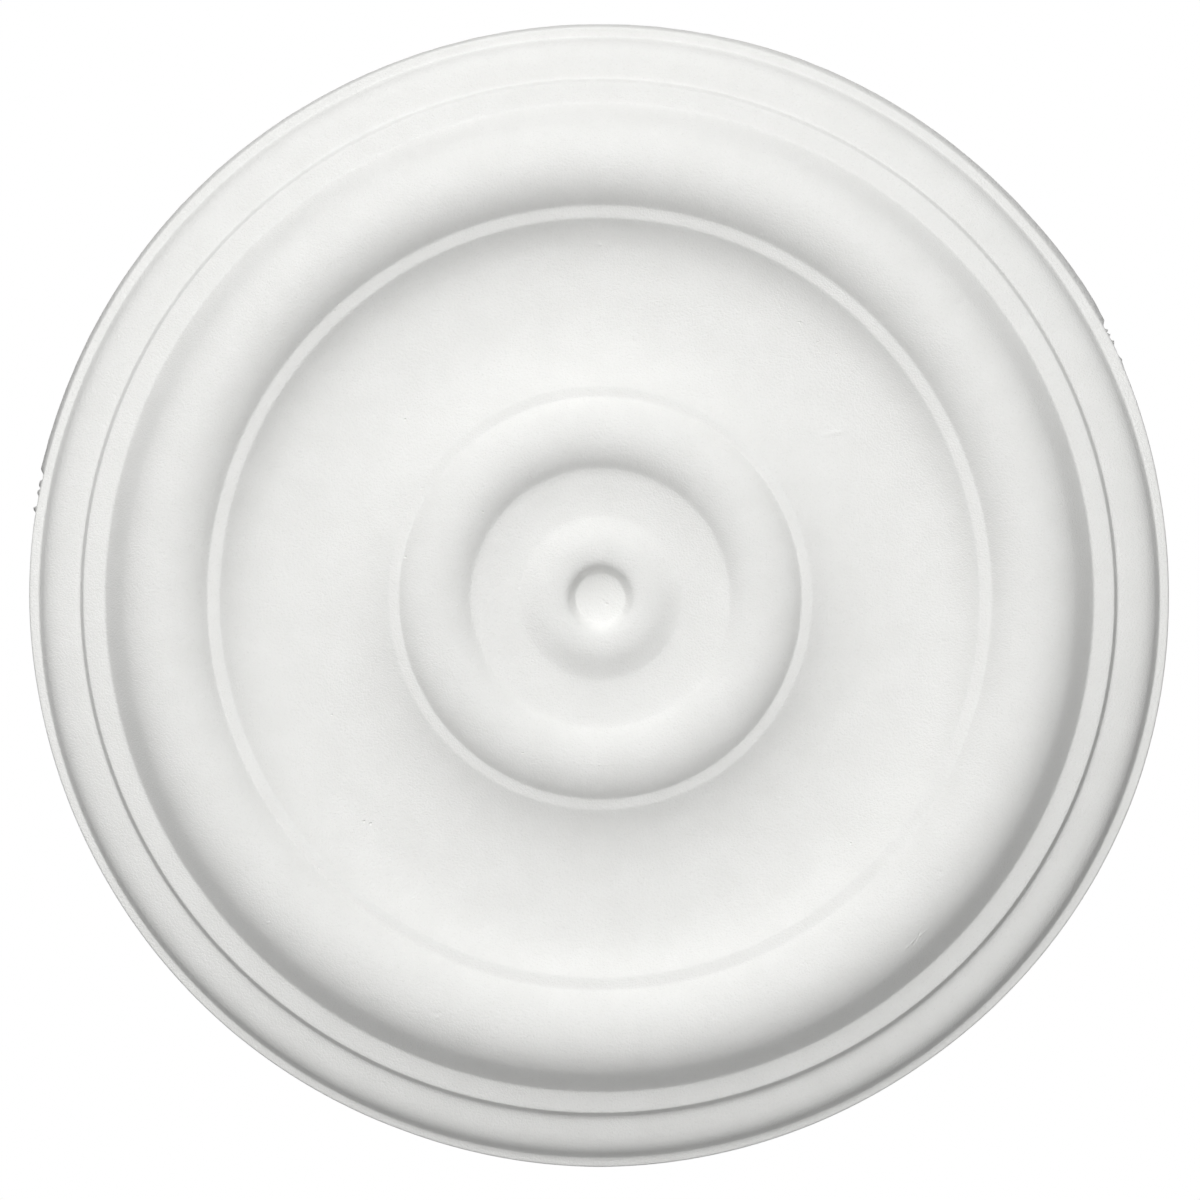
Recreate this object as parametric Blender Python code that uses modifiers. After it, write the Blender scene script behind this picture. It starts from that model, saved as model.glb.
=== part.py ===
"""A plain ceiling rose: one round plaster casting, 460 mm across, as it sits on a ceiling.

The flat back lies in the plane z = 0 with the ceiling above it, and the mouldings face down.
The axis of the rose is the z axis. The section is followed from the axis outwards, moulding
by moulding, and each moulding has a width across the face and a rise towards the ceiling.
"""

import math
from dataclasses import dataclass

import bpy

# Driving sizes, in metres. A width is measured across the face, away from the axis.
# A rise is how far the surface climbs towards the ceiling over that width.
# A fall is how far it drops away from the ceiling, towards the room.

# The boss in the middle, with a round dimple in its top
DIMPLE_BOWL_WIDTH = 0.0123
DIMPLE_BOWL_FALL = 0.0052
DIMPLE_LIP_WIDTH = 0.0063
DIMPLE_LIP_FALL = 0.0030
BOSS_SHOULDER_WIDTH = 0.0075
BOSS_SHOULDER_RISE = 0.0018
BOSS_SLOPE_WIDTH = 0.0052
BOSS_SLOPE_RISE = 0.0023
BOSS_FOOT_WIDTH = 0.0024
BOSS_FOOT_RISE = 0.0005

# The plate round the boss, and the cove in which it turns down to the small roll
PLATE_WIDTH = 0.0131
PLATE_FALL = 0.0007
PLATE_COVE_WIDTH = 0.0050
PLATE_COVE_FALL = 0.0013
PLATE_COVE_TURN = math.radians(18)

# The small roll
SMALL_ROLL_INSIDE_WIDTH = 0.0128
SMALL_ROLL_INSIDE_FALL = 0.0055
SMALL_ROLL_OUTSIDE_WIDTH = 0.0110
SMALL_ROLL_OUTSIDE_RISE = 0.0035
SMALL_ROLL_SKIRT_WIDTH = 0.0042
SMALL_ROLL_SKIRT_RISE = 0.0044

# The wide dish between two narrow fillets, with steep sides and a shallow floor
INNER_FILLET_WIDTH = 0.0045
INNER_FILLET_RISE = 0.0010
DISH_INNER_SIDE_WIDTH = 0.0172
DISH_INNER_SIDE_RISE = 0.0075
DISH_INNER_SIDE_TURN = math.radians(20)
DISH_INNER_FLOOR_WIDTH = 0.0192
DISH_INNER_FLOOR_RISE = 0.0020
DISH_OUTER_FLOOR_WIDTH = 0.0135
DISH_OUTER_FLOOR_FALL = 0.0009
DISH_OUTER_COVE_WIDTH = 0.0113
DISH_OUTER_COVE_FALL = 0.0042
DISH_OUTER_COVE_TURN = math.radians(24)
DISH_OUTER_SIDE_WIDTH = 0.0053
DISH_OUTER_SIDE_FALL = 0.0042
OUTER_FILLET_WIDTH = 0.0052
OUTER_FILLET_FALL = 0.0011

# The great roll
GREAT_ROLL_INSIDE_WIDTH = 0.0166
GREAT_ROLL_INSIDE_FALL = 0.0082
GREAT_ROLL_OUTSIDE_WIDTH = 0.0190
GREAT_ROLL_OUTSIDE_RISE = 0.0102
GREAT_ROLL_SKIRT_WIDTH = 0.0052
GREAT_ROLL_SKIRT_RISE = 0.0073
GREAT_ROLL_SKIRT_TURN = math.radians(8)

# The sloping band, the small step at its edge and the bead outside it
BAND_WIDTH = 0.0088
BAND_RISE = 0.0022
STEP_WIDTH = 0.0014
STEP_RISE = 0.0039
BEAD_TOP_WIDTH = 0.0075
BEAD_TOP_RISE = 0.0020
BEAD_SHOULDER_WIDTH = 0.0037
BEAD_SHOULDER_RISE = 0.0015
BEAD_SHOULDER_TURN = math.radians(13)
BEAD_ROUND_WIDTH = 0.0045
BEAD_ROUND_RISE = 0.0042
BEAD_ROUND_TURN = math.radians(32)
BEAD_FOOT_WIDTH = 0.0018
BEAD_FOOT_RISE = 0.0039

# The rim, and the edge of the casting, which flares a little towards the ceiling
RIM_WIDTH = 0.0041
RIM_RISE = 0.0008
EDGE_FLARE = 0.0014
EDGE_HEIGHT = 0.0070

# Fineness of the facets
FACETS_ROUND = 80
TURN_PER_FACET = math.radians(12)

# Points closer to the axis than this become one point
AXIS_MERGE = 0.00001

# Above this angle between two faces the arris stays crisp
CRISP_ANGLE = math.radians(20)

# The finish: white casting plaster
PLASTER_COLOUR = (0.80, 0.80, 0.785, 1.0)
PLASTER_ROUGHNESS = 0.75
PLASTER_METALLIC = 0.0


@dataclass
class Moulding:
    """One stretch of the section, from its inner end to its outer end."""

    width: float
    rise: float
    turn: float = 0.0

    def points(self):
        """Points after the inner end, as (distance out, climb to the ceiling).

        The stretch is the circular arc over its chord that turns by `turn` on the way,
        or the chord itself where the turn is zero.
        """
        count = max(1, math.ceil(abs(self.turn) / TURN_PER_FACET))
        if count == 1:
            return [(self.width, self.rise)]
        chord = math.hypot(self.width, self.rise)
        chord_slope = math.atan2(self.rise, self.width)
        radius = chord / (2 * math.sin(self.turn / 2))
        first_slope = chord_slope - self.turn / 2
        found = []
        for index in range(1, count + 1):
            slope = first_slope + self.turn * index / count
            out = radius * (math.sin(slope) - math.sin(first_slope))
            climb = radius * (math.cos(first_slope) - math.cos(slope))
            found.append((out, climb))
        return found


def straight(width, rise):
    return Moulding(width, rise)


def level_at_start(width, rise):
    """An arc that leaves its inner end level, as a roll leaves its crest."""
    return Moulding(width, rise, 2 * math.atan2(rise, width))


def level_at_end(width, rise):
    """An arc that comes level at its outer end, as a hollow comes to its lowest ring."""
    return Moulding(width, rise, -2 * math.atan2(rise, width))


def mouldings():
    """The whole face of the rose, from the axis to the top of its edge."""
    return [
        level_at_start(DIMPLE_BOWL_WIDTH, -DIMPLE_BOWL_FALL),
        level_at_end(DIMPLE_LIP_WIDTH, -DIMPLE_LIP_FALL),
        level_at_start(BOSS_SHOULDER_WIDTH, BOSS_SHOULDER_RISE),
        straight(BOSS_SLOPE_WIDTH, BOSS_SLOPE_RISE),
        level_at_end(BOSS_FOOT_WIDTH, BOSS_FOOT_RISE),
        level_at_start(PLATE_WIDTH, -PLATE_FALL),
        Moulding(PLATE_COVE_WIDTH, -PLATE_COVE_FALL, -PLATE_COVE_TURN),
        level_at_end(SMALL_ROLL_INSIDE_WIDTH, -SMALL_ROLL_INSIDE_FALL),
        level_at_start(SMALL_ROLL_OUTSIDE_WIDTH, SMALL_ROLL_OUTSIDE_RISE),
        straight(SMALL_ROLL_SKIRT_WIDTH, SMALL_ROLL_SKIRT_RISE),
        straight(INNER_FILLET_WIDTH, INNER_FILLET_RISE),
        Moulding(DISH_INNER_SIDE_WIDTH, DISH_INNER_SIDE_RISE, -DISH_INNER_SIDE_TURN),
        level_at_end(DISH_INNER_FLOOR_WIDTH, DISH_INNER_FLOOR_RISE),
        level_at_start(DISH_OUTER_FLOOR_WIDTH, -DISH_OUTER_FLOOR_FALL),
        Moulding(DISH_OUTER_COVE_WIDTH, -DISH_OUTER_COVE_FALL, -DISH_OUTER_COVE_TURN),
        straight(DISH_OUTER_SIDE_WIDTH, -DISH_OUTER_SIDE_FALL),
        straight(OUTER_FILLET_WIDTH, -OUTER_FILLET_FALL),
        level_at_end(GREAT_ROLL_INSIDE_WIDTH, -GREAT_ROLL_INSIDE_FALL),
        level_at_start(GREAT_ROLL_OUTSIDE_WIDTH, GREAT_ROLL_OUTSIDE_RISE),
        Moulding(GREAT_ROLL_SKIRT_WIDTH, GREAT_ROLL_SKIRT_RISE, -GREAT_ROLL_SKIRT_TURN),
        straight(BAND_WIDTH, BAND_RISE),
        straight(STEP_WIDTH, STEP_RISE),
        straight(BEAD_TOP_WIDTH, BEAD_TOP_RISE),
        Moulding(BEAD_SHOULDER_WIDTH, BEAD_SHOULDER_RISE, BEAD_SHOULDER_TURN),
        Moulding(BEAD_ROUND_WIDTH, BEAD_ROUND_RISE, BEAD_ROUND_TURN),
        straight(BEAD_FOOT_WIDTH, BEAD_FOOT_RISE),
        straight(RIM_WIDTH, RIM_RISE),
        straight(EDGE_FLARE, EDGE_HEIGHT),
    ]


def face_section():
    """Points of the face as (radius, height), from the axis to where the edge meets z = 0."""
    radius = 0.0
    climb = 0.0
    face = [(radius, climb)]
    for moulding in mouldings():
        for out, up in moulding.points():
            face.append((radius + out, climb + up))
        radius += moulding.width
        climb += moulding.rise
    return [(point_radius, point_climb - climb) for point_radius, point_climb in face]


def plaster():
    material = bpy.data.materials.new("cast_plaster")
    material.use_nodes = True
    shader = material.node_tree.nodes["Principled BSDF"]
    shader.inputs["Base Color"].default_value = PLASTER_COLOUR
    shader.inputs["Roughness"].default_value = PLASTER_ROUGHNESS
    shader.inputs["Metallic"].default_value = PLASTER_METALLIC
    material.diffuse_color = PLASTER_COLOUR
    return material


def turned_rose(collection):
    """The casting: half its section, turned once round the z axis."""
    back_centre = (0.0, 0.0)
    section = [back_centre] + face_section()[::-1]
    mesh = bpy.data.meshes.new("ceiling_rose")
    edges = [(index, index + 1) for index in range(len(section) - 1)]
    mesh.from_pydata([(radius, 0.0, height) for radius, height in section], edges, [])
    rose = bpy.data.objects.new("ceiling_rose", mesh)
    collection.objects.link(rose)
    screw = rose.modifiers.new("turned", "SCREW")
    screw.steps = FACETS_ROUND
    screw.render_steps = FACETS_ROUND
    screw.use_merge_vertices = True
    screw.merge_threshold = AXIS_MERGE
    return rose


def made_solid(rose):
    """Keeps the turned shape as the object's own mesh, shaded smooth but for its arrises."""
    graph = bpy.context.evaluated_depsgraph_get()
    solid = bpy.data.meshes.new_from_object(rose.evaluated_get(graph))
    solid.name = "ceiling_rose_casting"
    outline = rose.data
    rose.modifiers.clear()
    rose.data = solid
    bpy.data.meshes.remove(outline)
    solid.shade_smooth()
    solid.set_sharp_from_angle(angle=CRISP_ANGLE)
    solid.materials.append(plaster())


for leftover in list(bpy.data.objects):
    bpy.data.objects.remove(leftover)

rose_collection = bpy.data.collections.new("ceiling_rose")
bpy.context.scene.collection.children.link(rose_collection)
made_solid(turned_rose(rose_collection))
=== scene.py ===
# %% [markdown]
# # A plaster ceiling rose
# A ceiling rose is the round ornament that sits on a ceiling over a lamp. This one is plain
# turned work: a dimpled boss in the middle, a small roll, a wide dish between two narrow
# fillets, a great roll, and a bead and rim at the edge. It is one casting in white plaster.
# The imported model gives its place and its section. This script gives it its fine surface.

import math
from dataclasses import dataclass

import bmesh
import bpy
import numpy as np
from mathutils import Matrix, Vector, noise


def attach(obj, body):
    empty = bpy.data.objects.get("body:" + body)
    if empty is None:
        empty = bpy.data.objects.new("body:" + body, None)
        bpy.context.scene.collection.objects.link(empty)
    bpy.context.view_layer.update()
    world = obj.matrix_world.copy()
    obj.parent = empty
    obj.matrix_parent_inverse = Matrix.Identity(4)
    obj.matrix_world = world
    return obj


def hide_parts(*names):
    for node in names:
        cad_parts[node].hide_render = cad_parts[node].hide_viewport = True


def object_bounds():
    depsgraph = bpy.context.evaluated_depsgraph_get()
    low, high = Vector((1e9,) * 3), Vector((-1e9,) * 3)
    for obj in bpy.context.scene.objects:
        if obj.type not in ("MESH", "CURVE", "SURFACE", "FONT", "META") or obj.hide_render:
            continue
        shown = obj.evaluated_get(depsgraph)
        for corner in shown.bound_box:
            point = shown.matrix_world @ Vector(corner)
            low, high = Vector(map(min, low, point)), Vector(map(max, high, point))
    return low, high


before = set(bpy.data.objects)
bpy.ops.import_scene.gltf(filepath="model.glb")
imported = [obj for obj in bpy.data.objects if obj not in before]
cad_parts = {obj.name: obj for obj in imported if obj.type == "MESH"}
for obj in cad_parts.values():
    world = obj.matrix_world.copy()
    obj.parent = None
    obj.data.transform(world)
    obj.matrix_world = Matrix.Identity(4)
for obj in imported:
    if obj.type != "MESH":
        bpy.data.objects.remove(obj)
cad_low, cad_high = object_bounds()
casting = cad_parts["ceiling_rose"]
rose_radius = cad_high.x
rose_depth = cad_high.z - cad_low.z
print(f"the rose is {2 * rose_radius * 1000:.0f} mm across and {rose_depth * 1000:.1f} mm deep")

# %% [markdown]
# ## The section
# A plasterer makes a round model for such a rose with a template: a sheet of metal cut to the
# section, which turns about a pin and shapes the wet plaster. So the whole form is in one
# line, the section, and everything else follows from turning it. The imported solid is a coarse
# version of that turned form, so its section can be read back from the points of the solid
# that lie on the X axis. That keeps the fine surface true to the solid.

# %% Read the section from the solid
ON_AXIS = 1e-6


def solid_section(solid):
    """Points (distance from the axis, height) down one radius of the face, centre first."""
    points = set()
    for vertex in solid.data.vertices:
        x, y, z = vertex.co
        on_radius = abs(y) < ON_AXIS and x > -ON_AXIS
        at_back_centre = x < ON_AXIS and z > -ON_AXIS
        if on_radius and not at_back_centre:
            points.add((round(x, 7), round(z, 7)))
    return sorted(points)


coarse_section = solid_section(casting)
print(f"the solid's section has {len(coarse_section)} points")

# %% [markdown]
# ## Rounds and arrises
# A crisp line where two surfaces meet is called an arris. Between its arrises the section
# bends smoothly. The tangent at each point is that of the circle through it and its two
# neighbours, and a cubic curve joins one point to the next, so the facets of an arc become
# the arc again. The list gives the distance of each arris from the axis, and how soft it is,
# as a width, both in metres.

# %% Draw the smooth section
ARRIS_SOFTNESS = {
    0.0518: 0.0006,
    0.0798: 0.0004,
    0.0843: 0.0005,
    0.1508: 0.0005,
    0.1560: 0.0005,
    0.1968: 0.0005,
    0.2056: 0.0002,
    0.2070: 0.0002,
    0.2227: 0.0003,
    0.2245: 0.0003,
    0.2286: 0.0003,
}
SECTION_STEP = 0.00005


def circle_tangent(before, point, after, at):
    """Direction at `at` of the circle through three points, as a unit vector."""
    first = point - before
    second = after - point
    bend = math.atan2(first[0] * second[1] - first[1] * second[0], first @ second)
    reach = np.hypot(*first) / (np.hypot(*first) + np.hypot(*second))
    turn = {"before": -bend * reach, "point": bend * reach, "after": bend * (2 - reach)}[at]
    slope = math.atan2(first[1], first[0]) + turn
    return np.array([math.cos(slope), math.sin(slope)])


def smooth_stretch(points):
    """A closely spaced curve through the points of one stretch between two arrises."""
    if len(points) == 2:
        tangents = [points[1] - points[0]] * 2
        tangents = [tangent / np.hypot(*tangent) for tangent in tangents]
    else:
        tangents = [circle_tangent(*points[:3], "before")]
        for index in range(1, len(points) - 1):
            tangents.append(circle_tangent(*points[index - 1 : index + 2], "point"))
        tangents.append(circle_tangent(*points[-3:], "after"))
    curve = []
    for index in range(len(points) - 1):
        start, end = points[index], points[index + 1]
        chord = np.hypot(*(end - start))
        count = max(2, math.ceil(chord / SECTION_STEP))
        for step in range(count):
            t = step / count
            curve.append(
                (2 * t**3 - 3 * t**2 + 1) * start
                + (t**3 - 2 * t**2 + t) * chord * tangents[index]
                + (3 * t**2 - 2 * t**3) * end
                + (t**3 - t**2) * chord * tangents[index + 1]
            )
    curve.append(points[-1])
    return curve


def smooth_section(points):
    """The section as heights at evenly spaced distances from the axis."""
    points = np.array(points)
    arrises = [int(np.argmin(abs(points[:, 0] - place))) for place in ARRIS_SOFTNESS]
    ends = [0] + arrises + [len(points) - 1]
    curve = []
    for first, last in zip(ends, ends[1:]):
        curve += smooth_stretch(points[first : last + 1])
    curve = np.array(curve)
    distances = np.arange(0, rose_radius, SECTION_STEP)
    return distances, np.interp(distances, curve[:, 0], curve[:, 1])


section_distance, sharp_height = smooth_section(coarse_section)
print(f"the smooth section has {len(section_distance)} points")

# %% [markdown]
# ## Soft arrises
# A real arris in plaster is never quite sharp, because the mould and the first wipe of a
# finger soften it. A bevel could do this on the mesh, but here the section is a list of
# heights, so a weighted mean along it does the same with less trouble.

# %% Soften the arrises
REACH_OF_MEAN = 3


def softened(distances, heights):
    """Each height becomes a mean of the heights near it, over the softness of its arris."""
    places = np.array(list(ARRIS_SOFTNESS))
    widths = np.array(list(ARRIS_SOFTNESS.values()))
    nearest = np.argmin(abs(distances[:, None] - places[None]), axis=1)
    soft = np.zeros_like(heights)
    edge = distances > places[-1] + widths[-1]
    for index, width in enumerate(widths):
        reach = int(REACH_OF_MEAN * width / SECTION_STEP)
        offsets = np.arange(-reach, reach + 1)
        weights = np.exp(-0.5 * (offsets * SECTION_STEP / width) ** 2)
        padded = np.pad(heights, reach, mode="reflect")
        mean = np.convolve(padded, weights / weights.sum(), mode="valid")
        soft = np.where(nearest == index, mean, soft)
    return np.where(edge, heights, soft)


section_height = softened(section_distance, sharp_height)
most_softened = abs(section_height - sharp_height).max()
print(f"softening moved the section by {1000 * most_softened:.2f} mm at most")

# %% [markdown]
# ## The dimple
# The dimple in the boss has a nearly flat floor, a wall that is steep all round, and a lip
# that turns over quickly into the boss. The solid has a plain bowl of the same width there.
# The list gives the slope of the fine surface, in degrees, by distance from the axis in
# millimetres, and the slopes are added up from the lip inwards.

# %% Shape the dimple
MM = 0.001
DIMPLE_SLOPE = {
    0.0: 0,
    4.0: 6,
    8.0: 12,
    9.4: 16,
    10.4: 58,
    12.2: 60,
    13.2: 42,
    14.2: 26,
    15.5: 13,
    17.0: 5,
    18.6: 0,
}


def dimpled(distances, heights):
    """The section with the dimple's own slopes inside its lip."""
    lip = int(np.searchsorted(distances, MM * max(DIMPLE_SLOPE)))
    slopes = np.interp(distances / MM, list(DIMPLE_SLOPE), list(DIMPLE_SLOPE.values()))
    fall = np.cumsum(np.tan(np.radians(slopes))) * SECTION_STEP
    return np.where(distances < distances[lip], heights[lip] + fall[lip] - fall, heights)


bowl_height = section_height
section_height = dimpled(section_distance, bowl_height)
off_bowl = abs(section_height - bowl_height).max()
print(f"the dimple is within {1000 * off_bowl:.2f} mm of the solid's bowl")

# %% [markdown]
# ## Rings
# The mesh is a set of rings. They lie close together where the section bends quickly and
# further apart where it runs straight, so that the polygons go where the eye needs them.
# The edge of the casting is a wall 7 mm high. It gets rings of its own, evenly spaced.

# %% Choose the rings
FINE_RING_STEP = 0.0003
WIDE_RING_STEP = 0.0026
BEND_PER_RING = math.radians(3.9)
LEAST_BEND = 1e-6
WALL_RINGS = 7
ROUND_STEPS = 360

rim_arris = max(ARRIS_SOFTNESS)
bead_foot = max(place for place in ARRIS_SOFTNESS if place < rim_arris)
wall_foot = rim_arris + ARRIS_SOFTNESS[rim_arris]


def ring_distances():
    """Distances of the rings from the axis, spaced by how quickly the section bends."""
    slope = np.arctan(np.gradient(section_height, SECTION_STEP))
    bend = np.maximum(abs(np.gradient(slope, SECTION_STEP)), LEAST_BEND)
    spacing = np.clip(BEND_PER_RING / bend, FINE_RING_STEP, WIDE_RING_STEP)
    progress = np.cumsum(SECTION_STEP / spacing)
    whole = np.interp(wall_foot, section_distance, progress)
    face = np.interp(np.linspace(0, whole, int(whole) + 1), progress, section_distance)
    return np.append(face, np.linspace(wall_foot, rose_radius, WALL_RINGS + 1)[1:-1])


rings = ring_distances()
print(f"{len(rings)} rings, {2 * len(rings) * ROUND_STEPS} triangles")

# %% [markdown]
# ## Turn the casting
# `bmesh.ops.spin` turns the section once round the axis, as the template turns about its pin.
# The back is left flat, because the mould is struck off level with its rim.

# %% Turn the section
BACK_RINGS = 20


def section_height_at(distance):
    return np.interp(distance, section_distance, section_height)


def turned_mesh():
    """The face, the wall and the flat back, as one closed mesh."""
    mesh = bmesh.new()
    face = [(distance, section_height_at(distance)) for distance in rings]
    back = [(rose_radius * (1 - step / BACK_RINGS), 0.0) for step in range(BACK_RINGS + 1)]
    outline = [mesh.verts.new((distance, 0, height)) for distance, height in face + back]
    lines = [mesh.edges.new(pair) for pair in zip(outline, outline[1:])]
    bmesh.ops.spin(
        mesh,
        geom=outline + lines,
        cent=(0, 0, 0),
        axis=(0, 0, 1),
        angle=2 * math.pi,
        steps=ROUND_STEPS,
        use_merge=True,
    )
    bmesh.ops.remove_doubles(mesh, verts=mesh.verts, dist=ON_AXIS)
    bmesh.ops.recalc_face_normals(mesh, faces=mesh.faces)
    return mesh


rose_mesh = turned_mesh()
print(f"turned mesh: {len(rose_mesh.verts)} points, {len(rose_mesh.faces)} faces")

# %% [markdown]
# ## Where a mark lies
# The marks are placed by what the picture shows, so a place in the picture has to become a
# place on the rose. The camera looks almost straight up the axis, so this is one scale, and
# the raised mouldings, which are nearer the camera, look a little larger. The numbers that
# tie the picture to the rose are the ones that set the camera up later on.

# %% Tie the picture to the rose
PHOTO_PIXELS = 1200
ROSE_PIXELS = 1147.4
ROSE_CENTRE_X = 599.5
ROSE_CENTRE_Y = 597.4
CAMERA_DISTANCE = 3.0
ROUNDS_TO_SETTLE = 3

pixel = 2 * rose_radius / ROSE_PIXELS
rim_height = section_height_at(rim_arris)


def place_on_face(right, down):
    """The place (x, y) on the face that shows at a pixel of the picture."""
    x = (right - ROSE_CENTRE_X) * pixel
    y = (down - ROSE_CENTRE_Y) * pixel
    distance = math.hypot(x, y)
    for _ in range(ROUNDS_TO_SETTLE):
        nearness = 1 - (rim_height - section_height_at(distance)) / CAMERA_DISTANCE
        distance = math.hypot(x, y) * nearness
    return x * nearness, y * nearness


print(f"one pixel of the picture is {pixel * 1000:.3f} mm at the rim")

# %% [markdown]
# ## Marks in the plaster
# No casting is perfect. Air bubbles against the mould leave pinholes, a bubble just under
# the surface leaves a soft hollow, and dirt or a repair leaves a lump, a scratch or a pocked
# patch. They could be painted on, but a painted mark doesn't catch the light. Here each is a
# real change of the surface, half a millimetre high or deep at most. Each line says where it
# shows in the picture, how long and wide it is, which way it runs, and how far it stands out.

# %% List the marks


@dataclass
class Mark:
    """One mark: its place in pixels, its size in mm, its turn in degrees up from the right."""

    kind: str
    right: float
    down: float
    length: float
    width: float
    height: float
    turn: float = 0.0


LUMPS_AND_HOLLOWS = [
    Mark("lump", 599.5, 244.5, 3.6, 3.0, 0.24),
    Mark("lump", 633.5, 341, 3.2, 3.0, -0.20),
    Mark("lump", 633.5, 355, 3.6, 2.4, -0.14),
    Mark("lump", 780, 305.5, 2.2, 2.2, -0.13),
    Mark("lump", 832.5, 433, 13.0, 3.4, 0.24, 17),
    Mark("lump", 826, 425, 5.0, 3.2, 0.14, 60),
    Mark("lump", 845, 427, 4.0, 3.0, 0.12, 0),
    Mark("lump", 435, 309.5, 3.2, 1.6, 0.15),
    Mark("lump", 398.5, 660, 3.2, 2.6, -0.14, 80),
    Mark("lump", 421.5, 488, 1.8, 1.0, -0.22, 10),
    Mark("lump", 268, 922, 1.7, 1.3, 0.26, 30),
    Mark("lump", 436.5, 1013, 5.0, 3.2, -0.20),
    Mark("lump", 437, 1017.5, 3.0, 1.6, 0.10, 30),
    Mark("lump", 496.5, 1029, 2.4, 2.4, -0.15),
    Mark("lump", 813.5, 728, 3.4, 2.8, -0.16, 50),
    Mark("lump", 818.5, 745, 3.2, 3.0, -0.17, 20),
    Mark("lump", 778.5, 798, 2.2, 1.6, 0.14),
    Mark("lump", 789, 808, 1.8, 1.6, -0.10),
    Mark("lump", 705, 833.5, 3.4, 2.6, 0.18, 160),
    Mark("lump", 618.5, 184, 3.2, 2.4, 0.14),
    Mark("lump", 610.5, 172, 2.8, 2.4, -0.10),
    Mark("lump", 961.5, 302, 4.4, 4.0, -0.22, 40),
    Mark("lump", 761.5, 233, 3.4, 1.9, -0.20, 155),
    Mark("lump", 295.5, 297, 1.6, 1.3, -0.10),
    Mark("lump", 247.5, 977, 2.4, 1.6, -0.24, 135),
    Mark("lump", 383.5, 1083, 1.8, 1.6, -0.09),
    Mark("lump", 762.5, 835, 2.0, 2.6, -0.16),
    Mark("lump", 939.5, 872, 3.6, 3.4, -0.20),
    Mark("lump", 943.5, 641, 3.4, 2.6, -0.17, 20),
    Mark("lump", 588, 655.5, 0.9, 0.9, 0.10),
    Mark("lump", 590.5, 659, 0.8, 0.8, 0.08),
    Mark("lump", 599.5, 559, 1.6, 0.9, 0.07),
    Mark("lump", 612.5, 541, 2.4, 1.8, 0.08),
    Mark("lump", 1015, 520, 3.4, 2.8, -0.10),
    Mark("lump", 180, 640, 3.0, 2.6, -0.10, 30),
    Mark("lump", 160, 420, 2.6, 2.4, 0.09),
]
SCRATCHES = [
    Mark("scratch", 596, 764, 9.6, 0.8, 0.13),
    Mark("scratch", 649, 756, 5.6, 0.9, 0.10, 14),
    Mark("scratch", 911, 943, 8.4, 0.9, 0.20, 52),
    Mark("scratch", 917, 938, 8.0, 0.8, -0.18, 56),
    Mark("scratch", 922, 934, 6.0, 0.7, 0.14, 50),
    Mark("scratch", 489, 751, 3.0, 0.7, 0.09, 150),
]
PINHOLES = [
    Mark("pinhole", 404.5, 419, 0.9, 0.9, -0.45),
    Mark("pinhole", 331.5, 714.5, 0.9, 0.8, -0.45),
    Mark("pinhole", 363.5, 821, 1.0, 0.9, -0.45),
    Mark("pinhole", 370.5, 823.5, 1.1, 1.3, -0.50),
    Mark("pinhole", 318.5, 868, 0.8, 0.7, -0.35),
    Mark("pinhole", 850.5, 843, 0.9, 1.1, -0.40),
    Mark("pinhole", 799.5, 322, 0.8, 0.8, -0.40),
    Mark("pinhole", 817.5, 342, 0.7, 0.7, -0.35),
    Mark("pinhole", 836, 354, 0.9, 0.8, -0.45),
    Mark("pinhole", 482.5, 511.5, 0.8, 1.0, -0.50),
    Mark("pinhole", 405, 556.5, 1.0, 1.1, -0.50),
    Mark("pinhole", 606, 603.5, 1.3, 1.2, -0.35),
    Mark("pinhole", 522, 752.5, 0.8, 0.7, -0.35),
    Mark("pinhole", 335.5, 310, 0.8, 0.6, -0.30),
    Mark("pinhole", 338, 304, 0.6, 0.6, -0.25),
]
POCKED_PATCHES = [
    Mark("pocks", 696, 461.5, 12.0, 9.6, -0.11),
]
face_marks = LUMPS_AND_HOLLOWS + SCRATCHES + PINHOLES + POCKED_PATCHES
print(f"{len(face_marks)} marks on the face")

# %% [markdown]
# ## Shape of a mark
# Each kind has its own shape. A lump or a hollow is a bell with a slightly ragged outline. A
# scratch is a narrow bell that comes and goes along its length. A pinhole has a steep wall
# and a round bottom, and a pocked patch is a scatter of very small pits. Each function takes
# places as shares of the mark's half length and half width, and gives shares of its height.

# %% Shape a lump, a hollow and a pinhole
OVAL_SHARE = 0.16
THREE_CORNER_SHARE = 0.11
CORNER_SEED = 2.3
BELL_STEEPNESS = 2.6
PINHOLE_RAGGEDNESS = 0.3
PINHOLE_WALL_POWER = 0.6


def ragged(along, across, seed):
    """How far the outline of a mark strays from an ellipse, at points round it."""
    angle = np.arctan2(across, along)
    oval = OVAL_SHARE * np.cos(2 * angle + seed)
    return 1 + oval + THREE_CORNER_SHARE * np.cos(3 * angle + CORNER_SEED * seed)


def bell(along, across, seed):
    reach = np.hypot(along, across) * ragged(along, across, seed)
    return np.exp(-BELL_STEEPNESS * reach**2)


def pinhole(along, across, seed):
    stray = PINHOLE_RAGGEDNESS * (ragged(along, across, seed) - 1)
    reach = np.hypot(along, across) * (1 + stray)
    return np.clip(1 - reach**2, 0, 1) ** PINHOLE_WALL_POWER


bell_half, pinhole_half = bell(0.5, 0, 0), pinhole(0.5, 0, 0)
print(f"halfway out a bell keeps {bell_half:.2f} of its height, a pinhole {pinhole_half:.2f}")

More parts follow.
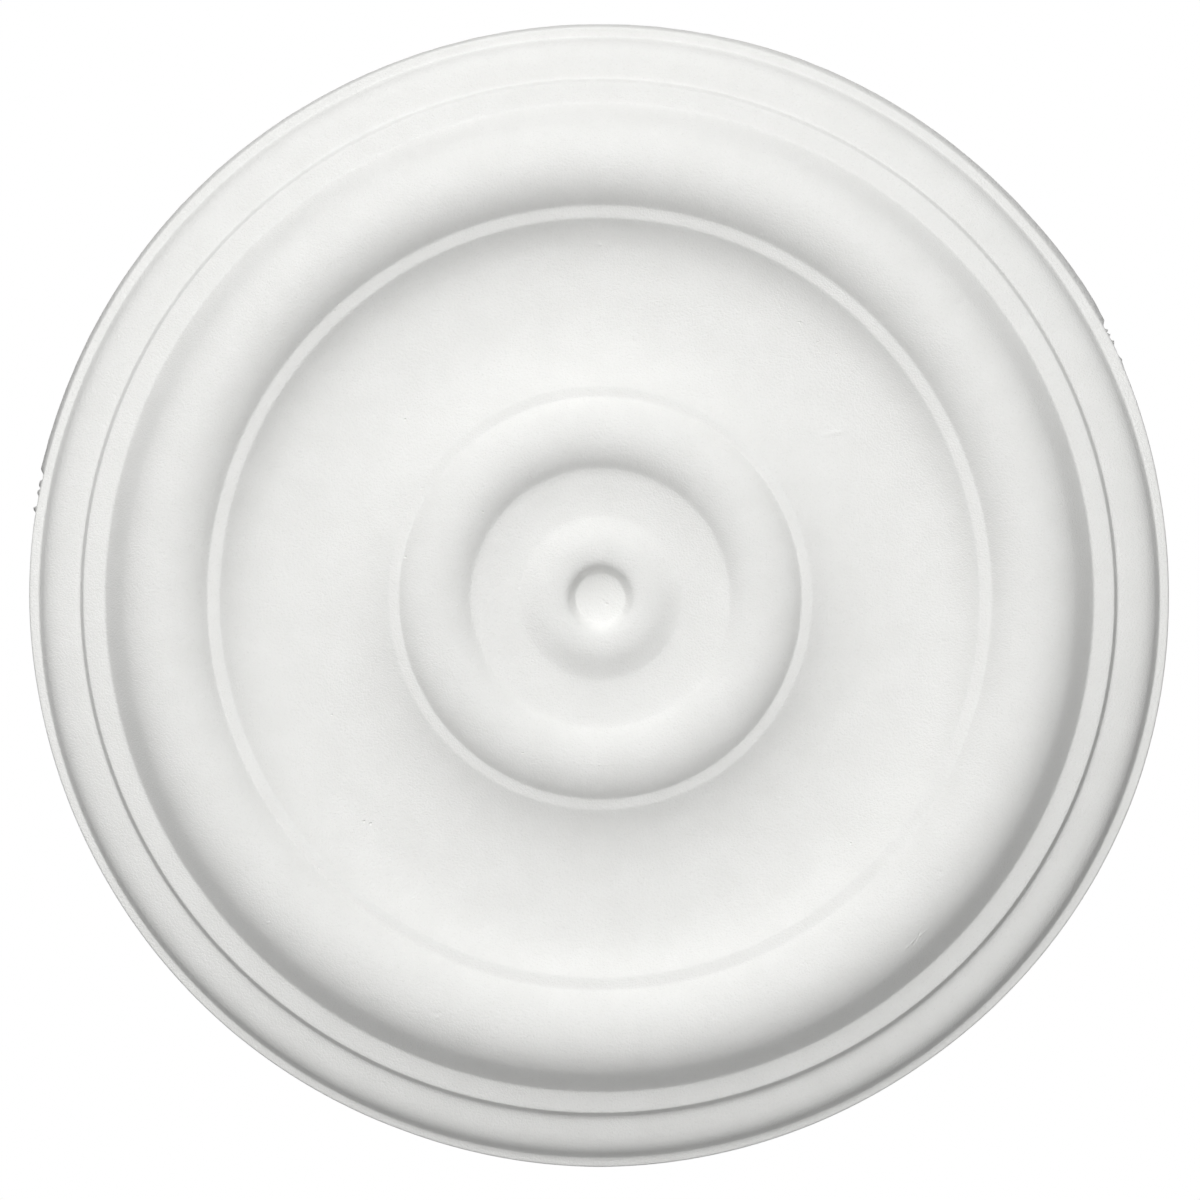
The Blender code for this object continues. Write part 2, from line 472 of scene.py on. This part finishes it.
# %% Shape a scratch
SCRATCH_STEEPNESS = 3.2
SCRATCH_WANDER = 0.5
SCRATCH_WANDER_PACE = 3.1
SCRATCH_MEAN_HEIGHT = 0.62
SCRATCH_HEIGHT_CHANGE = 0.38
SCRATCH_HEIGHT_PACE = 11
SCRATCH_END_POWER = 4
SCRATCH_SEED = 3


def scratch(along, across, seed):
    wander = across + SCRATCH_WANDER * np.sin(SCRATCH_WANDER_PACE * along + seed)
    wave = np.sin(SCRATCH_HEIGHT_PACE * along + SCRATCH_SEED * seed)
    breaks = SCRATCH_MEAN_HEIGHT + SCRATCH_HEIGHT_CHANGE * wave
    ends = np.clip(1 - along**SCRATCH_END_POWER, 0, 1)
    return np.exp(-SCRATCH_STEEPNESS * wander**2) * ends * breaks


print(f"a scratch keeps {scratch(0.9, 0, 0):.2f} of its height near its end")

# %% Shape a pocked patch
POCKS_IN_PATCH = 46
POCKS_SEED = 7
POCK_WIDTH = 0.75
POCK_WIDTH_SHARES = (0.6, 1.3)
POCK_PLACES = (0.35, 0.95)
POCK_STEEPNESS = 2.0


def pocks(along, across, mark):
    chance = np.random.default_rng(POCKS_SEED)
    found = np.zeros_like(along)
    for _ in range(POCKS_IN_PATCH):
        turn = chance.uniform(0, 2 * math.pi)
        out = chance.uniform(*POCK_PLACES)
        width = chance.uniform(*POCK_WIDTH_SHARES) * POCK_WIDTH
        pit_along = (along - out * math.cos(turn)) * mark.length / width
        pit_across = (across - out * math.sin(turn)) * mark.width / width
        found = np.maximum(found, np.exp(-POCK_STEEPNESS * (pit_along**2 + pit_across**2)))
    return found


print(f"a pocked patch has {POCKS_IN_PATCH} pits, about {POCK_WIDTH} mm wide")

# %% Give a mark its height
SEED_PER_PIXEL_DOWN = 0.7


def height_of_mark(mark, along, across):
    """Height of the mark in metres, at places given as shares of its half length and width."""
    seed = mark.right + SEED_PER_PIXEL_DOWN * mark.down
    shapes = {"lump": bell, "scratch": scratch, "pinhole": pinhole}
    if mark.kind == "pocks":
        return MM * mark.height * pocks(along, across, mark)
    return MM * mark.height * shapes[mark.kind](along, across, seed)


deepest = min(mark.height for mark in face_marks)
print(f"the deepest mark is {-deepest} mm deep")

# %% [markdown]
# ## Make room for the marks
# The rings lie up to 2.6 mm apart, which is too coarse for a pinhole of 1 mm. A finer mesh
# everywhere would be far too heavy, so only the faces round each mark are split, again and
# again, until their sides suit it. The new points are set back on the section, so that the
# surface stays round. The faces with more than four sides that this leaves are cut up. The
# edge needs the same at its two broken ends.

# %% Ways to split the faces near a mark
SIDES_ACROSS = {"lump": 5, "scratch": 3.6, "pinhole": 5.5, "pocks": 24, "break": 11}
ROOM_ROUND_MARK = {"lump": 1.3, "scratch": 1.2, "pinhole": 1.2, "pocks": 1.1, "break": 1.0}


def shares_of_mark(mark, place, points):
    """Places of points along and across a mark, as shares of its half length and width."""
    turn = math.radians(mark.turn)
    right = points[:, 0] - place[0]
    up = place[1] - points[:, 1]
    along = right * math.cos(turn) + up * math.sin(turn)
    across = up * math.cos(turn) - right * math.sin(turn)
    return along / (MM * mark.length / 2), across / (MM * mark.width / 2)


def edges_to_split(mesh, marks, on_side):
    """Edges near a mark that are longer than its shape allows."""
    edges = list(mesh.edges)
    first = np.array([edge.verts[0].co[:] for edge in edges])
    second = np.array([edge.verts[1].co[:] for edge in edges])
    middle = (first + second) / 2
    length = np.linalg.norm(second - first, axis=1)
    usable = np.flatnonzero(on_side(first) & on_side(second))
    chosen = np.zeros(len(edges), bool)
    for mark, place in marks:
        along, across = shares_of_mark(mark, place, middle[usable])
        finest = MM * mark.width / SIDES_ACROSS[mark.kind]
        room = ROOM_ROUND_MARK[mark.kind]
        half_side = length[usable] / 2
        near = abs(along) < room + half_side / (MM * mark.length / 2)
        near &= abs(across) < room + half_side / (MM * mark.width / 2)
        chosen[usable[near & (length[usable] > finest)]] = True
    return [edges[index] for index in np.flatnonzero(chosen)]


def seat_on_section(mesh):
    """Sets the points of the face back on the smooth section."""
    for vertex in mesh.verts:
        distance = math.hypot(vertex.co.x, vertex.co.y)
        if vertex.co.z < -ON_AXIS and distance < rim_arris:
            vertex.co.z = section_height_at(distance)


def split_near_marks(mesh, marks, on_side):
    """Halves the edges near the marks until each is short enough."""
    while True:
        edges = edges_to_split(mesh, marks, on_side)
        if not edges:
            break
        bmesh.ops.subdivide_edges(mesh, edges=edges, cuts=1, use_grid_fill=True)
    crowded = [face for face in mesh.faces if len(face.verts) > 4]
    bmesh.ops.triangulate(mesh, faces=crowded)
    seat_on_section(mesh)


print(f"a pinhole 1 mm wide gets sides of {1 / SIDES_ACROSS['pinhole']:.2f} mm at most")

# %% Split the faces near the marks
BROKEN_ENDS = [
    Mark("break", 1108, 333, 26, 13, 0, 117),
    Mark("break", 42, 483, 26, 13, 0, 79),
]


def on_face(points):
    return points[:, 2] < -ON_AXIS


def on_back(points):
    return points[:, 2] > -ON_AXIS


def on_edge(points):
    return np.hypot(points[:, 0], points[:, 1]) > bead_foot


faces_before = len(rose_mesh.faces)
placed_marks = [(mark, place_on_face(mark.right, mark.down)) for mark in face_marks]
split_near_marks(rose_mesh, placed_marks, on_face)
placed_ends = [(mark, place_on_face(mark.right, mark.down)) for mark in BROKEN_ENDS]
split_near_marks(rose_mesh, placed_ends, on_edge)
print(f"room for the marks took {len(rose_mesh.faces) - faces_before} more faces")

# %% [markdown]
# ## The back
# Nobody sees the back of a ceiling rose, and nobody finishes it. The plaster is struck off
# level with the mould by a straight board, which leaves faint ridges all running one way,
# and bubbles that rise as it sets leave round pits. The ridges and the pits both go into
# the plaster, so the back still lies flat on a ceiling.

# %% Pits in the back
# A pit has no place in the picture, so its right and down only seed its ragged outline.
PITS_IN_BACK = 14
PITS_SEED = 3
PITS_REACH = 0.94
SMALLEST_PIT = 1.6
LARGEST_PIT = 5.0
FEW_LARGE_PITS_POWER = 3
SOFT_PIT_WIDTH = 3
PIT_LENGTH_SHARES = (1, 1.3)
PIT_DEPTH_SHARE = 0.28
SHAPE_SEED_SCALE = 100

chance = np.random.default_rng(PITS_SEED)
back_marks = []
for _ in range(PITS_IN_BACK):
    out = rose_radius * PITS_REACH * math.sqrt(chance.uniform(0, 1))
    turn = chance.uniform(0, 2 * math.pi)
    share = chance.uniform(0, 1) ** FEW_LARGE_PITS_POWER
    width = SMALLEST_PIT + (LARGEST_PIT - SMALLEST_PIT) * share
    pit = Mark(
        kind="pinhole" if width < SOFT_PIT_WIDTH else "lump",
        right=SHAPE_SEED_SCALE * out,
        down=SHAPE_SEED_SCALE * turn,
        length=width * chance.uniform(*PIT_LENGTH_SHARES),
        width=width,
        height=-PIT_DEPTH_SHARE * width,
    )
    back_marks.append((pit, (out * math.cos(turn), out * math.sin(turn))))
split_near_marks(rose_mesh, back_marks, on_back)
print(f"{len(back_marks)} pits in the back, {len(rose_mesh.faces)} faces in all")

# %% [markdown]
# ## Raise and sink
# On the face a mark stands out square to the surface. The slope of the section gives that
# direction. On the back, square to the surface is straight up and down.

# %% Shape the marks and the struck back
STRIKE_RIDGES = ((0.9, 0.00012), (2.1, 0.00007))
STRIKE_WAVE = 0.045
RIDGE_LEAN = 0.35
MARK_REACH = 2


def points_of(mesh):
    return np.array([vertex.co[:] for vertex in mesh.verts])


def give_points(mesh, points):
    for vertex, point in zip(mesh.verts, points):
        vertex.co = point


def outward(points):
    """Unit vectors square to the face, pointing away from the ceiling."""
    distance = np.hypot(points[:, 0], points[:, 1])
    slopes = np.gradient(section_height, SECTION_STEP)
    slope = np.interp(distance, section_distance, slopes)
    safe = np.maximum(distance, ON_AXIS)
    right = slope * points[:, 0] / safe
    up = slope * points[:, 1] / safe
    vectors = np.stack([right, up, -np.ones_like(slope)], axis=1)
    return vectors / np.linalg.norm(vectors, axis=1)[:, None]


def marked(points):
    """The points of the mesh after the marks on its face and its back."""
    height = np.zeros(len(points))
    for marks, side in ((placed_marks, on_face(points)), (back_marks, on_back(points))):
        for mark, place in marks:
            along, across = shares_of_mark(mark, place, points)
            near = side & (np.hypot(along, across) < MARK_REACH)
            height[near] += height_of_mark(mark, along[near], across[near])
    back = on_back(points)
    run = (points[:, 1] + RIDGE_LEAN * points[:, 0]) / STRIKE_WAVE
    struck = np.zeros(len(points))
    for pace, size in STRIKE_RIDGES:
        struck += size * (1 + np.sin(2 * math.pi * pace * run + pace))
    direction = outward(points)
    direction[back] = (0, 0, 1)
    height[back] -= struck[back]
    return points + height[:, None] * direction


print(f"there are {len(rose_mesh.verts)} points to shape")

# %% [markdown]
# ## Turned by hand
# The rings of the real rose aren't quite true. The template lifts and wanders by up to about a
# tenth of a millimetre as it goes round. The middle sits 0.3 mm to one side, and the small step
# near the edge 0.3 mm to the other. The eye doesn't measure this, but without it the rose looks
# drawn instead of made.

# %% Let the rings wander
LOBES = range(2, 7)
WANDER = 0.00005
LIFT = 0.00006
SIDEWAYS_AT = (0.0, 0.070, 0.085, 0.150, 0.197, 0.206, rim_arris)
SIDEWAYS_BY = (0.0003, 0.0003, 0.0003, 0.0, 0.0, -0.0003, 0.0)
FADE_TO_RIM = 0.004
WANDER_SHIFT = 1.7
WANDER_TWIST = 34
LIFT_SHIFT = 0.9
LIFT_TWIST = 61


def wandered(points):
    """The points of the face, with each ring a little off its circle and its height."""
    distance = np.hypot(points[:, 0], points[:, 1])
    turn = np.arctan2(points[:, 1], points[:, 0])
    inside = np.clip((rim_arris - distance) / FADE_TO_RIM, 0, 1) * on_face(points)
    wander = np.zeros_like(turn)
    lift = np.zeros_like(turn)
    for lobe in LOBES:
        wander += np.cos(lobe * turn + WANDER_SHIFT * lobe + WANDER_TWIST * distance) / lobe
        lift += 1 + np.cos(lobe * turn - LIFT_SHIFT * lobe + LIFT_TWIST * distance)
    moved = points.copy()
    share = 1 + inside * WANDER * wander / np.maximum(distance, WIDE_RING_STEP)
    moved[:, 0] = points[:, 0] * share + inside * np.interp(distance, SIDEWAYS_AT, SIDEWAYS_BY)
    moved[:, 1] = points[:, 1] * share
    moved[:, 2] += inside * LIFT * lift / len(LOBES)
    return moved


on_dish = np.array([[0.1, 0, section_height_at(0.1)]])
dish_moved = np.linalg.norm(wandered(on_dish) - on_dish)
print(f"a point in the dish moves by {1000 * dish_moved:.2f} mm, mostly to one side")

# %% [markdown]
# ## The edge
# The edge of a casting is rough, because it is where the plaster is trimmed. The arris of
# the rim strays by about a millimetre at most. The wall behind it leans out further
# round the upper part, so that it shows past the rim from below. That stretch is broken off
# bluntly at both ends, with a few crumbs left beyond. Each list gives millimetres by degrees
# round the picture, up from the right, and the wall's is how far its foot stands out.

# %% List the edge's stray and lean
RIM_STRAY = {
    -180: 0.05,
    -170: -0.35,
    -150: -0.6,
    -130: -0.45,
    -110: -0.75,
    -90: -0.15,
    -75: -0.45,
    -55: -0.85,
    -30: -0.2,
    -20: 0.0,
    0: -0.35,
    10: -0.1,
    20: 0.6,
    26: 1.05,
    31: 0.5,
    36: 0.05,
    42: -0.25,
    75: 0.0,
    115: 0.0,
    140: -0.1,
    160: -0.45,
    168: -0.3,
    173: 0.1,
    180: 0.05,
}
EDGE_LEAN = {
    -180: 0.2,
    28.3: 0.3,
    28.7: 1.9,
    31: 2.5,
    35: 2.75,
    40: 2.65,
    50: 2.3,
    70: 2.2,
    80: 1.65,
    110: 1.4,
    120: 1.45,
    130: 1.7,
    150: 1.85,
    167.1: 1.9,
    167.6: 0.3,
    180: 0.2,
}
WALL_ROUND = 1.2
EDGE_ROUGHNESS = 0.00012
ROUGHNESS_ROUND = 260
ROUGHNESS_UP = 90

print(f"the rim strays from {min(RIM_STRAY.values())} to {max(RIM_STRAY.values())} mm")

# %% Leave crumbs beyond the broken ends
CRUMB_EDGE = 1.6


@dataclass
class Crumb:
    """A scrap of the wall left beyond its broken end: its place and width in degrees."""

    at: float
    width: float
    lean: float


CRUMBS = [
    Crumb(23.8, 0.4, 1.0),
    Crumb(24.5, 0.5, 1.1),
    Crumb(26.4, 0.3, 1.5),
    Crumb(27.3, 0.25, 1.4),
    Crumb(27.8, 0.3, 1.5),
    Crumb(168.5, 0.7, 1.4),
    Crumb(169.4, 0.6, 1.3),
    Crumb(171.1, 0.35, 1.8),
    Crumb(172.2, 0.2, 1.3),
]


def foot_lean(degrees):
    """How far the foot of the wall stands out from the rim, in mm."""
    lean = np.interp(degrees, list(EDGE_LEAN), list(EDGE_LEAN.values()))
    for crumb in CRUMBS:
        off = abs(degrees - crumb.at) / (crumb.width / 2)
        lean = np.maximum(lean, crumb.lean * np.clip(CRUMB_EDGE - off, 0, 1))
    return lean


print(f"{len(CRUMBS)} crumbs, and the foot stands out by {foot_lean(90):.1f} mm at the top")

# %% Shape the rim and the wall
def edged(points):
    """The points with the rim's stray and the wall's lean, held inside the solid's box."""
    distance = np.hypot(points[:, 0], points[:, 1])
    turn = np.arctan2(-points[:, 1], points[:, 0])
    degrees = np.degrees(turn)
    across_rim = np.clip((distance - bead_foot) / (rim_arris - bead_foot), 0, 1)
    down_wall = np.clip((distance - rim_arris) / (rose_radius - rim_arris), 0, 1)
    stray = MM * np.interp(degrees, list(RIM_STRAY), list(RIM_STRAY.values()))
    noise_places = points * (ROUGHNESS_ROUND, ROUGHNESS_ROUND, ROUGHNESS_UP)
    rough = [noise.noise(Vector(place)) for place in noise_places]
    lean = MM * foot_lean(degrees) + np.array(rough) * EDGE_ROUGHNESS
    rounded = 1 - (1 - down_wall) ** WALL_ROUND
    reach = np.minimum(distance, rim_arris) + across_rim * stray + rounded * lean
    at_edge = across_rim > 0
    moved = points.copy()
    for axis, toward in ((0, np.cos(turn)), (1, -np.sin(turn))):
        moved[at_edge, axis] = np.clip(reach * toward, -rose_radius, rose_radius)[at_edge]
    return moved


top_foot = edged(np.array([[0, -rose_radius, 0]]))
print(f"at the top the foot of the wall is {-1000 * top_foot[0, 1]:.1f} mm from the axis")

# %% [markdown]
# ## One rose
# The marks come first, then the wandering of the rings, and the edge last. The points are
# held within the depth of the solid, so the surface never grows out of its box.

# %% Keep the mesh as the rose
CRISP_ANGLE = math.radians(40)

points = edged(wandered(marked(points_of(rose_mesh))))
points[:, 2] = np.clip(points[:, 2], cad_low.z, 0)
give_points(rose_mesh, points)
rose_data = bpy.data.meshes.new("rose_casting")
rose_mesh.to_mesh(rose_data)
rose_mesh.free()
rose = bpy.data.objects.new("rose_casting", rose_data)
bpy.context.scene.collection.objects.link(rose)
rose_data.shade_smooth()
rose_data.set_sharp_from_angle(angle=CRISP_ANGLE)
triangles = sum(len(face.vertices) - 2 for face in rose_data.polygons)
print(f"the rose has {triangles} triangles")

# %% [markdown]
# ## Plaster
# Set casting plaster is white and matt. Close up it has a fine grain, which shows most where
# the light skims the surface, and it is very slightly cloudy. The grain is far too small for
# the mesh, so it is a bump in the material: noises from 0.4 to 2.2 mm across bend the light
# as if the surface rose and fell by a few hundredths of a millimetre. Everything is tied to
# places on the rose itself, in metres, so nothing slides when the camera moves.

# %% Helpers for the plaster's nodes
# A mix node has sockets for numbers, vectors and colours. These are the ones for colours.
FIRST_COLOUR, SECOND_COLOUR, MIXED_COLOUR = 6, 7, 2

plaster = bpy.data.materials.new("cast_plaster")
plaster.use_nodes = True
nodes = plaster.node_tree.nodes
links = plaster.node_tree.links
shader = nodes["Principled BSDF"]
places = nodes.new("ShaderNodeTexCoord").outputs["Object"]


def noise_over(vector, across, detail=2.0, roughness=0.5):
    """A noise whose lumps are about `across` metres wide."""
    node = nodes.new("ShaderNodeTexNoise")
    node.inputs["Scale"].default_value = 1 / across
    node.inputs["Detail"].default_value = detail
    node.inputs["Roughness"].default_value = roughness
    links.new(vector, node.inputs["Vector"])
    return node.outputs["Fac"]


def spread(value, low, high, new_low=0.0, new_high=1.0):
    """The range low to high stretched to a new range, and held at its ends."""
    node = nodes.new("ShaderNodeMapRange")
    ends = {"From Min": low, "From Max": high, "To Min": new_low, "To Max": new_high}
    for name, number in ends.items():
        node.inputs[name].default_value = number
    links.new(value, node.inputs["Value"])
    return node.outputs["Result"]


def between(share, first, second):
    """A mix of two colours, or of a made colour and a plain one."""
    node = nodes.new("ShaderNodeMix")
    node.data_type = "RGBA"
    links.new(share, node.inputs["Factor"])
    for socket, colour in ((FIRST_COLOUR, first), (SECOND_COLOUR, second)):
        if isinstance(colour, tuple):
            node.inputs[socket].default_value = (*colour, 1.0)
        else:
            links.new(colour, node.inputs[socket])
    return node.outputs[MIXED_COLOUR]


def bumped(height, depth, under=None, share=None):
    """Bends the surface by a height of up to `depth` metres, on top of another bump."""
    node = nodes.new("ShaderNodeBump")
    node.inputs["Distance"].default_value = depth
    node.inputs["Strength"].default_value = 1.0
    links.new(height, node.inputs["Height"])
    if share is not None:
        links.new(share, node.inputs["Strength"])
    if under is not None:
        links.new(under, node.inputs["Normal"])
    return node.outputs["Normal"]


print(f"the new material starts with {len(nodes)} nodes")

# %% [markdown]
# ## Face, wall and back
# The face was cast against a smooth mould, the edge wall was trimmed, and the back was struck
# off. So the one plaster has three finishes. Where each one holds follows from the place: the
# back is where the height is nearly nothing, and the wall is past the rim.

# %% Find the back and the wall
BACK_FROM = -0.0012
BACK_TO = -0.0006
WALL_FADE = 0.0003

height_split = nodes.new("ShaderNodeSeparateXYZ")
links.new(places, height_split.inputs["Vector"])
flat_places = nodes.new("ShaderNodeCombineXYZ")
links.new(height_split.outputs["X"], flat_places.inputs["X"])
links.new(height_split.outputs["Y"], flat_places.inputs["Y"])
out_from_axis = nodes.new("ShaderNodeVectorMath")
out_from_axis.operation = "LENGTH"
links.new(flat_places.outputs["Vector"], out_from_axis.inputs[0])

back_share = spread(height_split.outputs["Z"], BACK_FROM, BACK_TO)
wall_share = spread(out_from_axis.outputs["Value"], rim_arris, rim_arris + WALL_FADE)
print(f"the wall starts {1000 * rim_arris:.1f} mm from the axis")

# %% [markdown]
# ## Colour and sheen
# One flat white looks like plastic. So the face has faint clouds some 14 mm across and sparse
# specks under 1 mm, all within a few hundredths of the same white. Nobody wipes the back, so
# it is a little greyer, with larger clouds. The roughness drifts slightly too.

# %% Colour the plaster
PLASTER_WHITE = (0.815, 0.815, 0.800)
PLASTER_CLOUD = (0.795, 0.795, 0.779)
PLASTER_SPECK = (0.765, 0.765, 0.748)
BACK_WHITE = (0.76, 0.752, 0.728)
BACK_CLOUD = (0.70, 0.69, 0.66)
CLOUDS = 0.014
CLOUD_RANGE = (0.35, 0.65)
SPECKS = 0.0009
SPECK_RANGE = (0.60, 0.78)
BACK_CLOUDS = 0.03
BACK_CLOUD_RANGE = (0.32, 0.68)
SHEEN_CLOUDS = 0.006
SHEEN_RANGE = (0.3, 0.7)
SMOOTHEST = 0.70
ROUGHEST = 0.86
SPECULAR_LEVEL = 0.3

clouds = spread(noise_over(places, CLOUDS, detail=4), *CLOUD_RANGE)
specks = spread(noise_over(places, SPECKS, detail=1), *SPECK_RANGE)
face_colour = between(specks, between(clouds, PLASTER_CLOUD, PLASTER_WHITE), PLASTER_SPECK)
back_clouds = noise_over(places, BACK_CLOUDS, detail=6, roughness=0.6)
back_colour = between(spread(back_clouds, *BACK_CLOUD_RANGE), BACK_CLOUD, BACK_WHITE)
links.new(between(back_share, face_colour, back_colour), shader.inputs["Base Color"])
sheen_clouds = noise_over(places, SHEEN_CLOUDS, detail=3)
sheen = spread(sheen_clouds, *SHEEN_RANGE, SMOOTHEST, ROUGHEST)
links.new(sheen, shader.inputs["Roughness"])
shader.inputs["Specular IOR Level"].default_value = SPECULAR_LEVEL
print(f"the roughness runs from {SMOOTHEST} to {ROUGHEST}")

# %% [markdown]
# ## Grain
# Each bump takes the one before it as the surface that it bends, so they add up: a mottle, a
# grain and a fine grain all over, a rougher grain on the trimmed wall, and long streaks on the
# back. The streaks come from a noise that is drawn out in one direction, as the board ran.

# %% Bend the surface
GRAIN = 0.0008
GRAIN_DEPTH = 0.0002
FINE_GRAIN = 0.0004
FINE_GRAIN_DEPTH = 0.00005
MOTTLE = 0.0022
MOTTLE_DEPTH = 0.00007
ROUGH_GRAIN = 0.0025
ROUGH_GRAIN_DEPTH = 0.0005
STRIKE_ACROSS = 0.0011
STRIKE_ALONG = 0.05
STRIKE_DEPTH = 0.00035

strike_places = nodes.new("ShaderNodeMapping")
strike_places.inputs["Rotation"].default_value = (0, 0, math.atan(RIDGE_LEAN))
strike_places.inputs["Scale"].default_value = (STRIKE_ACROSS / STRIKE_ALONG, 1, 1)
links.new(places, strike_places.inputs["Vector"])

grain = bumped(noise_over(places, MOTTLE, detail=2), MOTTLE_DEPTH)
grain = bumped(noise_over(places, GRAIN, detail=1), GRAIN_DEPTH, under=grain)
grain = bumped(noise_over(places, FINE_GRAIN, detail=1), FINE_GRAIN_DEPTH, under=grain)
rough = noise_over(places, ROUGH_GRAIN, detail=5, roughness=0.65)
grain = bumped(rough, ROUGH_GRAIN_DEPTH, under=grain, share=wall_share)
strike = noise_over(strike_places.outputs["Vector"], STRIKE_ACROSS, detail=3)
grain = bumped(strike, STRIKE_DEPTH, under=grain, share=back_share)
links.new(grain, shader.inputs["Normal"])
rose_data.materials.append(plaster)
print(f"the plaster has {len(nodes)} nodes")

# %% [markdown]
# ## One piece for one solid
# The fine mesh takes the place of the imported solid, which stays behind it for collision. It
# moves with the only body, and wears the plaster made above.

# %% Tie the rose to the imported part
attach(rose, "root")
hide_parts("ceiling_rose")
print(f"{rose.name} stands for the solid ceiling_rose")

# %% [markdown]
# ## The room
# The rose sits on a ceiling, which isn't drawn, with a plain pale floor far below it. There
# is nothing else in the room, so the rose shows against white.

# %% Lay the floor
FLOOR_DROP = 4.2
FLOOR_SIDE = 4.0
FLOOR_COLOUR = (0.8, 0.8, 0.8, 1)
FLOOR_ROUGHNESS = 0.9

scene = bpy.context.scene
bpy.ops.mesh.primitive_plane_add(size=FLOOR_SIDE, location=(0, 0, -FLOOR_DROP))
floor = bpy.context.object
floor.name = "floor"
floor_paint = bpy.data.materials.new("floor_paint")
floor_paint.use_nodes = True
floor_shader = floor_paint.node_tree.nodes["Principled BSDF"]
floor_shader.inputs["Base Color"].default_value = FLOOR_COLOUR
floor_shader.inputs["Roughness"].default_value = FLOOR_ROUGHNESS
floor.data.materials.append(floor_paint)
print(f"the floor is {FLOOR_DROP} m below the ceiling")

# %% [markdown]
# ## The camera
# The camera is between the rose and the floor and looks up, almost straight. The picture's
# frame is so many pixels wide, and the scale at the rim is known, so its width there in metres
# gives the lens. The shift puts the rose's centre on its pixel.

# %% Set up the camera
CAMERA_TILT = math.radians(0.4)
SENSOR_WIDTH = 36.0

camera_data = bpy.data.cameras.new("camera")
camera = bpy.data.objects.new("camera", camera_data)
scene.collection.objects.link(camera)
scene.camera = camera
frame_width = pixel * PHOTO_PIXELS
camera_data.sensor_width = SENSOR_WIDTH
camera_data.lens = SENSOR_WIDTH * CAMERA_DISTANCE / frame_width
camera_data.shift_x = 0.5 - ROSE_CENTRE_X / PHOTO_PIXELS
camera_data.shift_y = ROSE_CENTRE_Y / PHOTO_PIXELS - 0.5
target = Vector((0, 0, rim_height))
towards_camera = Vector((0, -math.sin(CAMERA_TILT), -math.cos(CAMERA_TILT)))
camera.location = target + CAMERA_DISTANCE * towards_camera
camera.rotation_mode = "QUATERNION"
camera.rotation_quaternion = (-towards_camera).to_track_quat("-Z", "Y")
print(f"the lens is {camera_data.lens:.0f} mm")

# %% [markdown]
# ## Light
# The picture's light comes from the top, soft and quite steep, with a little from below to
# open the shadows. Light from one soft source can be told from the shading of a round thing:
# each moulding shows every direction once. A far light, the kind called a sun, gives the same
# light all over, and its `angle` makes it soft. A small disk nearer by makes the top of the
# rose slightly brighter than its bottom, as in the picture. One more disk, above the rose,
# lights the back, which only the other views see. Angles are in degrees.

# %% Aim a light


def light_from(name, kind, direction, distance):
    """A light in a direction from the rose, turned to shine at it."""
    light_data = bpy.data.lights.new(name, kind)
    light = bpy.data.objects.new(name, light_data)
    scene.collection.objects.link(light)
    light.location = direction.normalized() * distance
    light.rotation_mode = "QUATERNION"
    light.rotation_quaternion = (-direction).to_track_quat("-Z", "Y")
    return light_data


def below_rose(lean, turn):
    """The direction that leans away from straight below, at a turn round the picture."""
    side = math.sin(lean)
    return Vector((side * math.cos(turn), -side * math.sin(turn), -math.cos(lean)))


# %% Hang the lights
HIGH_LIGHT = {"lean": 25, "turn": 100, "softness": 34, "strength": 1.82}
KEY_LIGHT = {"lean": 47, "turn": 98, "softness": 34, "strength": 1.16}
LOW_LIGHT = {"lean": 60, "turn": 270, "softness": 40, "strength": 0.68}
NEAR_LIGHT_WATTS = 1.0
NEAR_LIGHT_SIZE = 0.5
NEAR_LIGHT_LEAN = math.radians(60)
BACK_LIGHT_WATTS = 60.0
BACK_LIGHT_SIZE = 1.5
BACK_LIGHT_PLACE = Vector((1.2, 0.8, 2.0))

suns = {"high_light": HIGH_LIGHT, "key_light": KEY_LIGHT, "low_light": LOW_LIGHT}
for name, light in suns.items():
    direction = below_rose(math.radians(light["lean"]), math.radians(light["turn"]))
    far_light = light_from(name, "SUN", direction, CAMERA_DISTANCE)
    far_light.angle = math.radians(light["softness"])
    far_light.energy = light["strength"]

key_turn = math.radians(KEY_LIGHT["turn"])
disks = (
    ("near_light", below_rose(NEAR_LIGHT_LEAN, key_turn), NEAR_LIGHT_SIZE, NEAR_LIGHT_WATTS),
    ("back_light", BACK_LIGHT_PLACE, BACK_LIGHT_SIZE, BACK_LIGHT_WATTS),
)
for name, place, size, watts in disks:
    disk = light_from(name, "AREA", place, place.length)
    disk.shape = "DISK"
    disk.size = size
    disk.energy = watts
floor.visible_shadow = False
print(f"{len(suns)} far lights and {len(disks)} disks")

# %% [markdown]
# ## World
# The camera sees pure white round the rose, as in the picture. The rose itself gets only a
# little light from the world, or its shadows would be washed out. The light path node tells
# the two apart: it is 1 where the camera looks straight at the world, and 0 elsewhere.

# %% White all round
WORLD_STRENGTH = 0.074
WHITE_STRENGTH = 1.0

world = bpy.data.worlds.new("studio")
world.use_nodes = True
scene.world = world
background = world.node_tree.nodes["Background"]
background.inputs["Color"].default_value = (1, 1, 1, 1)
rays = world.node_tree.nodes.new("ShaderNodeLightPath")
mix = world.node_tree.nodes.new("ShaderNodeMix")
mix.inputs["A"].default_value = WORLD_STRENGTH
mix.inputs["B"].default_value = WHITE_STRENGTH
world.node_tree.links.new(rays.outputs["Is Camera Ray"], mix.inputs["Factor"])
world.node_tree.links.new(mix.outputs["Result"], background.inputs["Strength"])
scene.view_settings.view_transform = "Standard"
print(f"the world lights the rose at {WORLD_STRENGTH} and shows at {WHITE_STRENGTH}")
